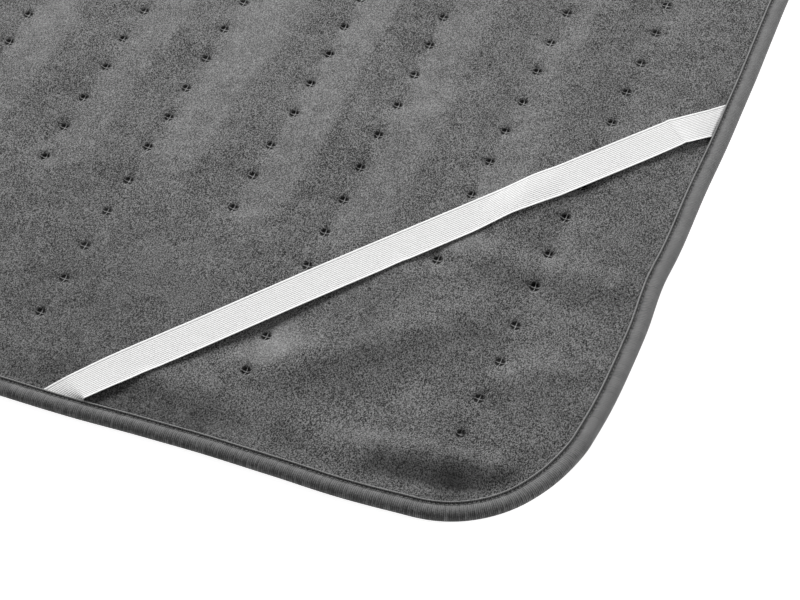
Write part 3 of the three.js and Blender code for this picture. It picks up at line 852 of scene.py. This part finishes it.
def add_felt(layer, end_name, height, plain_z):
    """One half of a felt: a finely divided face with all its relief, and a plain face inside the blanket."""
    end = ENDS[end_name]
    x_lines, y_lines = felt_grid(end)
    x, y = rounded(*np.meshgrid(x_lines, y_lines))
    y = notched(x, y)
    z, spot, nap = height(x, y)
    x, y = pulled_in(*out_of_line(x, y))
    fine_points = np.stack([x, y, z], -1).reshape(-1, 3)
    fine_faces = strip_faces(*x.shape)
    keys = [0, len(x_lines) - 1]
    if end > 0:
        notch, beside = NOTCH_HALF_WIDTH, NOTCH_HALF_WIDTH + NOTCH_STEP
        keys += [int(np.abs(x_lines - mark).argmin()) for mark in (-beside, -notch, notch, beside)]
    plain_points, plain_faces = plain_side(x, y, plain_z, sorted(keys))
    faces = fine_faces + plain_faces
    if plain_z > z.mean():
        faces = [face[::-1] for face in faces]
    plain_values = np.zeros(len(plain_points))
    piece = make_piece(
        f"felt_{layer}_{end_name}",
        np.concatenate([fine_points, plain_points]),
        faces,
        FELT,
        flat_from=len(fine_faces),
        # Each weld spot's painted shade, and the painted highlight on its cross.
        spot=np.concatenate([spot.ravel(), plain_values]),
        # The felt's painted light and shade on its slopes and in its corners.
        nap=np.concatenate([nap.ravel(), plain_values]),
    )
    fold_with_pad(piece)
    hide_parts(f"{layer}_felt_{end_name}")
    return piece


LAYERS = {"lower": (lower_height, LOWER_FELT_HIGH), "upper": (upper_height, UPPER_FELT_LOW)}

felts = {}
for end_name in ENDS:
    below = "floor"
    for layer, (height, plain_z) in LAYERS.items():
        felt = add_felt(layer, end_name, height, plain_z)
        below = felts[layer, end_name] = felt


# ---- The bound edge ----

# The tape's section: how far in from the outer edge, and how high. It goes from the inner edge underneath,
# round the roll, over the groove of the seam and the small ridge inside it, and back on the inside.
TAPE_SECTION = (
    (11.9, 0.35), (10.8, 0.1), (9.3, 0.35), (8.2, 0.1), (6, 0), (3.8, 0), (2.2, 0.35), (1, 1.15),
    (0.25, 2.3), (0, 3.6), (0.3, 4.9), (1.05, 6), (2.2, 6.85), (3.7, 7.35), (5.2, 7.4), (6.6, 7.15),
    (7.6, 6.7), (8.4, 6.1), (9, 5.6), (9.6, 5.4), (10.2, 5.5), (10.6, 5.9), (11, 6.5), (11.35, 6.55),
    (11.8, 6.1), (12, 5.4), (11.4, 5), (8, 4.3), (3.4, 5), (2.4, 3.5), (3.4, 1.6), (11.3, 1.1),
)
SECTION_WIDTH = 12
SECTION_HEIGHT = 7
# How much paler the tape is painted at each place of its section: a painted highlight on the small ridge,
# and painted shade in the seam and under the roll.
TAPE_PAINTED_SHADING = (
    [0] * 6 + [-0.2, -0.25, -0.2, -0.12, -0.08, -0.06, -0.06, -0.05, -0.03, -0.03, -0.1]
    + [-0.22, -0.4, -0.55, -0.55, -0.35, 0.45, 0.5, 0.1, -0.25] + [0] * 6
)
# How much darker the tape is painted on the two ends: painted shade on its outer side and over the roll.
TAPE_ENDS_PAINTED_SHADE = [0] * 5 + [0.15] + [0.36] * 6 + [0.26, 0.2, 0.16, 0.12, 0.08, 0.05] + [0] * 14

OUTLINE_STEP = 2.5


def quarter_edge(stop_x):
    """A quarter of the edge, for positive x and the foot end: places on the outline and the ways inwards.
    It goes from the middle of the side to the end edge, where it stops at an x."""
    side_y = np.linspace(0, ROUND_Y, round(ROUND_Y / OUTLINE_STEP) + 1)[1:]
    place = [(HALF_WIDTH, -y) for y in (0, CUT_LINE, *side_y)]
    inward = [(-1, 0)] * len(place)
    for angle in np.linspace(0, math.pi / 2, 81)[1:-1]:
        cos, sin = math.cos(angle), math.sin(angle)
        place.append((ROUND_X + CORNER_RADIUS * cos, -ROUND_Y - CORNER_RADIUS * sin))
        inward.append((-cos, sin))
    end_x = np.linspace(ROUND_X, stop_x, round((ROUND_X - stop_x) / OUTLINE_STEP))
    place += [(x, -HALF_LENGTH) for x in end_x]
    inward += [(0, 1)] * len(end_x)
    return np.array(place), np.array(inward)


def edge_route(end, side, stop_x):
    """A quarter of the pulled-in edge, mirrored to its end and side: places, and the ways square to it."""
    place, inward = quarter_edge(stop_x)
    turn = np.array([side, -end])
    place, inward = place * turn, inward * turn
    place = place + inward * edge_pull(*place.T)[:, None]
    way = np.gradient(place, axis=0)
    way /= np.hypot(*way.T)[:, None]
    square = np.stack([way[:, 1], -way[:, 0]], 1)
    square *= np.sign((square * inward).sum(1))[:, None]
    square[[0, -1]] = inward[[0, -1]]
    return place, square


def tape_shift(place):
    """The tape isn't quite straight: how far it stands out and up at places along it."""
    x, y = place[:, 0], place[:, 1]
    return 0.22 * soft_noise(x, y, 34, 11), 0.3 * soft_noise(x, y, 42, 12)


def distances(place):
    """How far along a route each of its places is."""
    steps = np.hypot(*np.diff(place, axis=0).T)
    return np.concatenate([[0], np.cumsum(steps)])


def add_tape(name, route, cad_node):
    place, inward = route
    out, up = tape_shift(place)
    across, height = np.array(TAPE_SECTION).T
    across = across * BINDING_WIDTH / SECTION_WIDTH
    flat_place = place[:, None] + inward[:, None] * (across[:, None] - out[:, None, None])
    z = height + np.clip(height / SECTION_HEIGHT, 0, 1) * up[:, None]
    points = np.concatenate([flat_place, z[..., None]], -1)
    rows, columns = z.shape
    # The section runs clockwise on some routes, so the faces are turned to point out.
    forward = place[1] - place[0]
    clockwise = forward[0] * inward[0][1] - forward[1] * inward[0][0] > 0
    faces = capped_strip(rows, columns, flip=clockwise)
    piece = make_piece(
        name,
        points,
        faces,
        TAPE,
        flat_from=len(faces) - 2,
        along=np.repeat(distances(place) * MM, columns),
        around=np.tile(distances(np.array(TAPE_SECTION)) * MM, rows),
        # The tape's painted light and shade, darker still on the ends' outer side.
        pale=np.array(TAPE_PAINTED_SHADING) - np.abs(inward[:, 1:]) * np.array(TAPE_ENDS_PAINTED_SHADE),
    )
    fold_with_pad(piece)
    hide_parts(cad_node)
    return piece


STITCH_PITCH = 2.7
STITCH_LENGTH = 2.1
STITCH_RADIUS = 0.36
STITCH_DIVE = 0.35  # how far the ends of a stitch go down into the cloth
STITCH_ROUNDS = 7
STITCH_SIDES = 8
STITCH_TURN = math.radians(12)
SEAM_ACROSS = 8.6
SEAM_HEIGHT = 5.5


def stitch_shape():
    """One stitch along X: a short thick thread whose ends dive into the cloth."""
    share = np.linspace(-1, 1, STITCH_ROUNDS)[:, None]
    around = np.arange(STITCH_SIDES) * 2 * math.pi / STITCH_SIDES
    radius = STITCH_RADIUS * np.sqrt(np.clip(1.06 - share**4, 0.05, 1))
    x = np.repeat(share * STITCH_LENGTH / 2, STITCH_SIDES, 1)
    y = radius * np.cos(around)
    z = radius * np.sin(around) - STITCH_DIVE * np.abs(share) ** 3
    points = np.stack([x, y, z], -1).reshape(-1, 3)
    return points, capped_strip(STITCH_ROUNDS, STITCH_SIDES, flip=True)


def add_stitches(name, route):
    place, inward = route
    out, up = tape_shift(place)
    along = distances(place)
    centres = np.arange(STITCH_PITCH, along[-1] - STITCH_PITCH, STITCH_PITCH)

    def at(values):
        return np.interp(centres, along, values)

    angle = np.arctan2(at(inward[:, 1]), at(inward[:, 0]))
    across = SEAM_ACROSS - at(out)
    x = at(place[:, 0]) + np.cos(angle) * across
    y = at(place[:, 1]) + np.sin(angle) * across
    z = SEAM_HEIGHT + at(up) * SEAM_HEIGHT / SECTION_HEIGHT
    turn = (angle - math.pi / 2 + STITCH_TURN)[:, None]
    shape, shape_faces = stitch_shape()
    stitch_x = x[:, None] + shape[:, 0] * np.cos(turn) - shape[:, 1] * np.sin(turn)
    stitch_y = y[:, None] + shape[:, 0] * np.sin(turn) + shape[:, 1] * np.cos(turn)
    stitch_z = z[:, None] + shape[:, 2]
    points = np.stack([stitch_x, stitch_y, stitch_z], -1)
    faces = [[i + n * len(shape) for i in face] for n in range(len(centres)) for face in shape_faces]
    piece = make_piece(name, points, faces, THREAD)
    fold_with_pad(piece)
    return piece


def joined_route(first, second):
    """Two routes that end at the same place, as one from the first's start to the second's."""
    return tuple(np.concatenate([a, b[-2::-1]]) for a, b in zip(first, second))


tape_routes = {
    "foot": joined_route(edge_route(-1, -1, 0), edge_route(-1, 1, 0)),
    "head_right": edge_route(1, 1, SHELL_HALF_WIDTH + 0.3),
    "head_left": edge_route(1, -1, SHELL_HALF_WIDTH + 0.3),
}
for part, route in tape_routes.items():
    tape = add_tape("tape_" + part, route, "binding_" + part)
    stitches = add_stitches("seam_stitches_" + part, route)


# ---- The corner straps ----

RIBS = 14
SELVEDGE = 1.5  # the smooth bead along each side of a strap
RIB_POINTS = 5
STRAP_TUCK = 0.9  # how far a strap's end goes under the tape
STRAP_UNDERSIDE = 0.88  # how wide its underside is, as a share of its top
STRAP_SEAM_HEIGHT = 5.6
STRAP_CLEAR = 0.25  # how far it stays over the felt at the least
STRAP_LEAN = 0.07
STRAP_WAVE = 0.4
CREASE_HEIGHT = 0.35
CREASE_REACH = 1.3
END_RISE = 10.5  # how far along it has risen out of its seam on the end edge
SIDE_DROP = 27  # how far before its seam on the side edge it has a sharp crease and goes down

# The height of a strap's top along it, between its rise and its crease: it lies slack over the pad.
STRAP_SAG = (
    (0, 8.2), (0.03, 8.8), (0.07, 9.6), (0.12, 9.9), (0.2, 9.9), (0.33, 10.1), (0.42, 10.2), (0.5, 10.2),
    (0.66, 10.3), (0.78, 10.4), (0.88, 10.9), (0.94, 11.3), (1, 11.6),
)
# How wide it is along its length, as a share of its width, and how far over towards the corner it lies.
STRAP_SPREAD = ((0, 0.97), (0.06, 1), (0.3, 1.02), (0.6, 1.03), (0.9, 1.04), (0.95, 1.02), (1, 0.9))
STRAP_SHIFT = ((0, 0), (0.1, -0.1), (0.35, -1.8), (0.6, -1.5), (0.8, -1.6), (0.93, -1.1), (1, -1))


def strap_section():
    """Places across a strap's top from its middle, their heights over its level, and how much painted shade
    each gets from its groove, from 0 to 1."""
    half = STRAP_WIDTH / 2
    bead = np.linspace(0, 1, 6)[:-1]
    bead_across = -half + SELVEDGE * bead
    bead_height = 0.26 - 0.4 * bead**3 - 0.14 * (1 - bead) ** 6
    share = np.linspace(0, RIBS, RIBS * RIB_POINTS + 1)
    rib_across = -half + SELVEDGE + share * (STRAP_WIDTH - 2 * SELVEDGE) / RIBS
    rib = np.abs(np.sin(math.pi * share))
    rib_height = 0.2 * rib**0.7 - 0.2
    across = np.concatenate([bead_across, rib_across, -bead_across[::-1]])
    height = np.concatenate([bead_height, rib_height, bead_height[::-1]])
    groove = np.concatenate([0 * bead, (1 - rib) ** 1.2, 0 * bead])
    return across, height, groove


def strap_line(side, end):
    """The middle line's ends in plan, at the seam on the end edge and at the seam on the side edge."""
    at_end = np.array([side * (HALF_WIDTH - STRAP_ALONG_END), end * (HALF_LENGTH - BINDING_WIDTH)])
    at_side = np.array([side * (HALF_WIDTH - BINDING_WIDTH), end * (HALF_LENGTH - STRAP_ALONG_SIDE)])
    return at_end, at_side


def add_strap_half(name, side, end, half):
    """A strap from its seam on the end edge to its middle, or from its middle to its seam on the side."""
    at_end, at_side = strap_line(side, end)
    way = at_side - at_end
    length = np.hypot(*way)
    forward = way / length
    right = np.array([forward[1], -forward[0]]) * side * -end
    across, height, groove = strap_section()
    # Each line of the strap stops at the seam, which runs slantwise across it.
    at, axis, rise = (at_end, 1, END_RISE) if half == "end" else (at_side, 0, length - SIDE_DROP)
    seam_place = at[axis] + np.sign(at[axis]) * (STRAP_TUCK - edge_pull(*at))
    seam = (seam_place - at_end[axis] - right[axis] * across) / forward[axis]
    inner = length / 2
    inwards = np.sign(inner - rise)
    near = rise + inwards * 5
    cut = inner - inwards * CUT_LINE
    lines = [seam + (rise - seam) * np.linspace(0, 1, 13)[:, None]]
    for start, stop, count in ((rise, near, 6), (near, cut, 60), (cut, inner, 1)):
        lines.append(np.linspace(start, stop, count + 1)[1:, None] * np.ones(len(across)))
    along = np.concatenate(lines)
    share = along / length
    from_seam = np.minimum(along, length - along)
    wave = STRAP_WAVE * np.sin(along / 47 + side + 2 * end) * smooth_step(from_seam / 60)
    sideways = across * smooth_curve(STRAP_SPREAD, share) + smooth_curve(STRAP_SHIFT, share) + wave
    place = at_end + along[..., None] * forward + sideways[..., None] * right
    # It leans a little: its inner side is higher where it is slack.
    level = smooth_curve(STRAP_SAG, share) - STRAP_LEAN * across * smooth_step(from_seam / 50)
    felt_top = upper_height(place[..., 0], place[..., 1])[0]
    level = np.maximum(level, felt_top + STRAP_THICKNESS + STRAP_CLEAR)
    risen = np.clip((along - seam) / (rise - seam), 0, 1)
    if half == "end":
        risen = np.sin(risen * math.pi / 2) ** 0.9
    top = STRAP_SEAM_HEIGHT + (level - STRAP_SEAM_HEIGHT) * risen
    if half == "side":
        top += CREASE_HEIGHT * fade(along - rise, CREASE_REACH)
    top_points = np.concatenate([place, (top + height)[..., None]], -1)
    # It is narrower underneath, as its sides are round.
    middle = len(across) // 2
    under = [len(across) - 1, middle, 0]
    under_place = place[:, [middle]] + STRAP_UNDERSIDE * (place[:, under] - place[:, [middle]])
    under_points = np.concatenate([under_place, (top[:, under] - STRAP_THICKNESS)[..., None]], -1)
    points = np.concatenate([top_points, under_points], 1)
    rows, columns = points.shape[:2]
    clockwise = (forward[0] * right[1] - forward[1] * right[0] > 0) == (half == "end")
    faces = capped_strip(rows, columns, flip=clockwise)
    return make_piece(
        name,
        points,
        faces,
        ELASTIC,
        flat_from=len(faces) - 2,
        along=np.concatenate([along, along[:, under]], 1) * MM,
        around=np.tile(np.concatenate([across, across[under]]) * MM, rows),
        # Painted shade in the grooves between the ribs.
        groove=np.tile(np.concatenate([groove, [0, 0, 0]]), rows),
    )


def add_strap(side_name, end_name):
    side, end = SIDES[side_name], ENDS[end_name]
    at_end, at_side = strap_line(side, end)
    for half, anchor in (("end", at_end), ("side", at_side)):
        piece = add_strap_half(f"elastic_{end_name}_{side_name}_{half}_half", side, end, half)
        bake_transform(piece)
        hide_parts(f"strap_{end_name}_{side_name}")


for end_name in ENDS:
    for side_name in SIDES:
        add_strap(side_name, end_name)


# ---- The heating cord, which lies between the felts ----


def run_places(stop, steps):
    """How far out the places of a run are, closer together near the fold."""
    return np.concatenate([np.linspace(0, 40, 17), np.linspace(40, stop, steps)[1:]])


def hairpin_line(first_run, end):
    """Two runs and the turn between them, from the fold out and back."""
    out_y = run_places(TURN_Y, 60)
    angles = np.linspace(0, math.pi, 33)[1:-1]
    right, left = RUN_X[first_run], RUN_X[first_run + 1]
    middle = (right + left) / 2
    out = [(right + sway(first_run, y), y) for y in end * out_y]
    turn = [(middle + TURN_RADIUS * math.cos(a), end * (TURN_Y + TURN_RADIUS * math.sin(a))) for a in angles]
    back = [(left + sway(first_run + 1, y), y) for y in end * out_y[::-1]]
    return out + turn + back


def lead_line(side):
    """An outer run and its way along the head end to the connector."""
    run = 0 if side > 0 else RUNS - 1
    bend_y = LEAD_Y - LEAD_BEND
    bend_x = FIRST_RUN_X - LEAD_BEND
    angles = np.linspace(0, math.pi / 2, 13)[1:]
    line = [(RUN_X[run] + sway(run, y), y) for y in run_places(bend_y, 70)]
    line += [(side * (bend_x + LEAD_BEND * math.cos(a)), bend_y + LEAD_BEND * math.sin(a)) for a in angles]
    line += [(side * x, LEAD_Y) for x in np.linspace(bend_x, CORD_END_X, 26)[1:]]
    return line


def cord_tube(line):
    """A round tube along a line in the plane between the felts."""
    place = np.array(line)
    way = np.gradient(place, axis=0)
    way /= np.hypot(*way.T)[:, None]
    right = np.stack([way[:, 1], -way[:, 0]], 1)
    around = np.arange(CORD_SIDES) * 2 * math.pi / CORD_SIDES
    flat_place = place[:, None] + right[:, None] * (CORD_RADIUS * np.cos(around))[:, None]
    z = np.broadcast_to(LAYER_MIDDLE + CORD_RADIUS * np.sin(around), flat_place.shape[:2])
    points = np.concatenate([flat_place, z[..., None]], -1)
    return points, capped_strip(len(place), CORD_SIDES, flip=True)


def add_cord(name, line, cad_node):
    points, faces = cord_tube(line)
    piece = make_piece(name, points, faces, CORD)
    fold_with_pad(piece)
    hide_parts(cad_node)


for pair in range(RUNS // 2):
    add_cord(f"cord_foot_{pair + 1}", hairpin_line(2 * pair, -1), f"heating_cord_foot_{pair + 1}")
for pair in range(RUNS // 2 - 1):
    add_cord(f"cord_head_{pair + 1}", hairpin_line(2 * pair + 1, 1), f"heating_cord_head_{pair + 1}")
for side_name, side in SIDES.items():
    add_cord("cord_lead_" + side_name, lead_line(side), "heating_cord_lead_" + side_name)


# ---- The connector and what is in it: the CAD parts, with their materials ----

# By how a node's name starts. A longer start comes later, and is the one that counts.
CAD_MATERIALS = {
    "connector_": SHELL,
    "connector_screw": STEEL,
    "socket_insert": INSERT,
    "contact_pin": BRASS,
    "crimp_sleeve": STEEL,
    "lead_wire": CORD,
    "fuse_wire": CORD,
    "thermal_fuse": CERAMIC,
}

for node_name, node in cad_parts.items():
    for start, material in CAD_MATERIALS.items():
        if node_name.startswith(start):
            node.data.materials.clear()
            node.data.materials.append(material)


# ---- The floor ----

FLOOR_REACH = 30
FLOOR_Z = -0.0002


def add_floor():
    corners = [(-1, -1), (1, -1), (1, 1), (-1, 1)]
    mesh = bpy.data.meshes.new("floor")
    mesh.from_pydata([(x * FLOOR_REACH, y * FLOOR_REACH, FLOOR_Z) for x, y in corners], [], [(0, 1, 2, 3)])
    m = Material("pale_floor", 0.9)
    m.set("Base Color", (0.7, 0.7, 0.7, 1))
    m.set("Emission Color", (1, 1, 1, 1))
    m.set("Emission Strength", 0.92)
    mesh.materials.append(m.material)
    place_object("floor", mesh)


add_floor()
